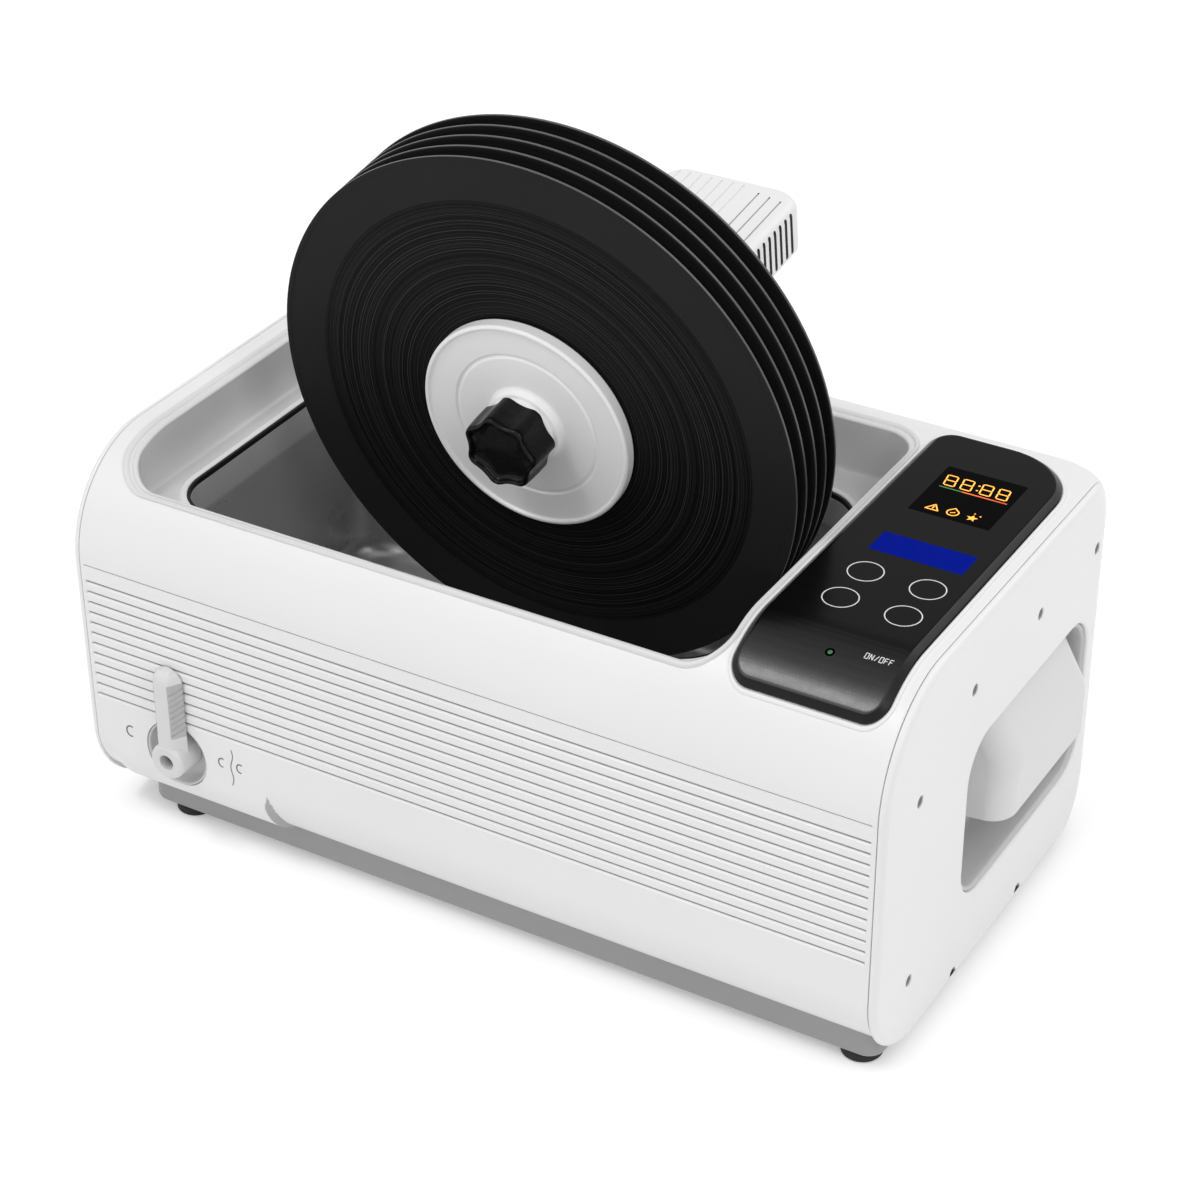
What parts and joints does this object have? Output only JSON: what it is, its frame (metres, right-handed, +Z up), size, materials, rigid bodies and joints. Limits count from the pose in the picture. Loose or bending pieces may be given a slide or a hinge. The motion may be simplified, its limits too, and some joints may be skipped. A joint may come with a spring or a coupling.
{
  "type": "ultrasonic record cleaning machine",
  "caption": "Bench-top ultrasonic bath that cleans a stack of records, turned on a motor head that rises on a rear column, with drain lever, touch controls and side handles.",
  "frame": {"origin": "floor point under the middle of the whole machine's outline at rest", "axes": "+X along the casing from the drain lever to the controls, +Y from the front to the back, +Z up"},
  "size_m": [0.495, 0.3408, 0.4135],
  "materials": {
    "casing_white": "satin",
    "trim_grey": "satin",
    "handle_grey": "satin",
    "base_grey": "matte",
    "foot_rubber": "matte",
    "gasket_rubber": "matte",
    "tank_steel": "brushed",
    "frame_steel": "zinc plated",
    "screw_steel": "plated",
    "cast_alloy": "machined",
    "ceramic": "fired",
    "heater_film": "matte",
    "pipe_plastic": "matte",
    "circuit_board": "satin",
    "capacitor": "gloss",
    "copper_wound": "satin",
    "fascia_black": "gloss",
    "display_glass": "gloss",
    "label_blue": "satin",
    "key_white": "gloss",
    "led_green": "gloss",
    "inlet_black": "satin",
    "bearing_steel": "polished",
    "gear_brass": "satin",
    "gear_plastic": "satin",
    "shaft_steel": "polished",
    "clamp_plastic": "satin",
    "record_vinyl": "gloss",
    "spacer_black": "satin",
    "knob_black": "gloss"
  },
  "bodies": {
    "casing": {"base_tray": "base_grey", "rubber_feet": "foot_rubber", "frame_screws": "screw_steel", "front_panel": "casing_white", "rear_panel": "casing_white", "top_cover": "casing_white", "left_side_frame": "frame_steel", "right_side_frame": "frame_steel", "left_end_cap": "casing_white", "right_end_cap": "casing_white", "left_handle": "handle_grey", "right_handle": "handle_grey", "end_cap_screws": "screw_steel", "tank_surround": "trim_grey", "tank_gasket": "gasket_rubber", "tank": "tank_steel", "transducer_heads": "cast_alloy", "piezo_discs": "ceramic", "transducer_tails": "frame_steel", "heater_pads": "heater_film", "drain_elbow": "pipe_plastic", "valve_body": "pipe_plastic", "valve_cup": "handle_grey", "generator_board": "circuit_board", "board_capacitors": "capacitor", "board_transformer": "copper_wound", "board_heatsink": "cast_alloy", "control_fascia": "fascia_black", "display_window": "display_glass", "label_strip": "label_blue", "touch_rings": "key_white", "control_board": "circuit_board", "status_led": "led_green", "mains_inlet": "inlet_black", "fan_frame": "inlet_black", "vent_grille": "casing_white", "arm_bracket": "casing_white"},
    "arm": {"arm_column": "casing_white", "motor_housing": "casing_white", "housing_front": "casing_white", "housing_screws": "screw_steel", "gear_plate": "frame_steel", "spindle_motor": "cast_alloy", "spindle_bearings": "bearing_steel"},
    "spindle": {"spindle_shaft": "shaft_steel", "driven_gear": "gear_plastic", "rear_clamp_plate": "clamp_plastic", "record_spacers": "spacer_black", "record_1": "record_vinyl", "record_2": "record_vinyl", "record_3": "record_vinyl", "record_4": "record_vinyl", "record_5": "record_vinyl"},
    "pinion": {"motor_pinion": "gear_brass"},
    "front_clamp": {"front_clamp_plate": "clamp_plastic"},
    "knob": {"clamp_knob": "knob_black"},
    "lock": {"lock_knob": "knob_black"},
    "drain": {"drain_lever": "handle_grey", "valve_plug": "pipe_plastic"},
    "fan": {"fan_rotor": "inlet_black"}
  },
  "joints": [
    {"name": "arm_lift", "type": "slide", "parent": "casing", "child": "arm", "axis": [0, 0, 1], "range_m": [0, 0.11]},
    {"name": "spindle_spin", "type": "hinge", "parent": "arm", "child": "spindle", "pos_m": [-0.019, -0.05089, 0.258], "axis": [0, 0.9895, 0.1444], "continuous": true},
    {"name": "pinion_spin", "type": "hinge", "parent": "arm", "child": "pinion", "pos_m": [-0.001, -0.05089, 0.258], "axis": [0, 0.9895, 0.1444], "continuous": true},
    {"name": "clamp_slide", "type": "slide", "parent": "spindle", "child": "front_clamp", "axis": [0, -0.9895, -0.1444], "range_m": [0, 0.012]},
    {"name": "knob_turn", "type": "hinge", "parent": "front_clamp", "child": "knob", "pos_m": [-0.019, -0.05089, 0.258], "axis": [0, -0.9895, -0.1444], "range_deg": [0, 2161]},
    {"name": "lock_turn", "type": "hinge", "parent": "casing", "child": "lock", "pos_m": [-0.019, 0.14041, 0.15], "axis": [0, 1, 0], "range_deg": [0, 360]},
    {"name": "lever_turn", "type": "hinge", "parent": "casing", "child": "drain", "pos_m": [-0.18, -0.16089, 0.06], "axis": [0, 1, 0], "range_deg": [0, 90]},
    {"name": "fan_spin", "type": "hinge", "parent": "casing", "child": "fan", "pos_m": [0.1695, 0.10911, 0.128], "axis": [0, 1, 0], "continuous": true}
  ],
  "couplings": [
    {"joint": "pinion_spin", "follows": "spindle_spin", "ratio": -2},
    {"joint": "knob_turn", "follows": "clamp_slide", "rad_per_m": 3141.6}
  ]
}
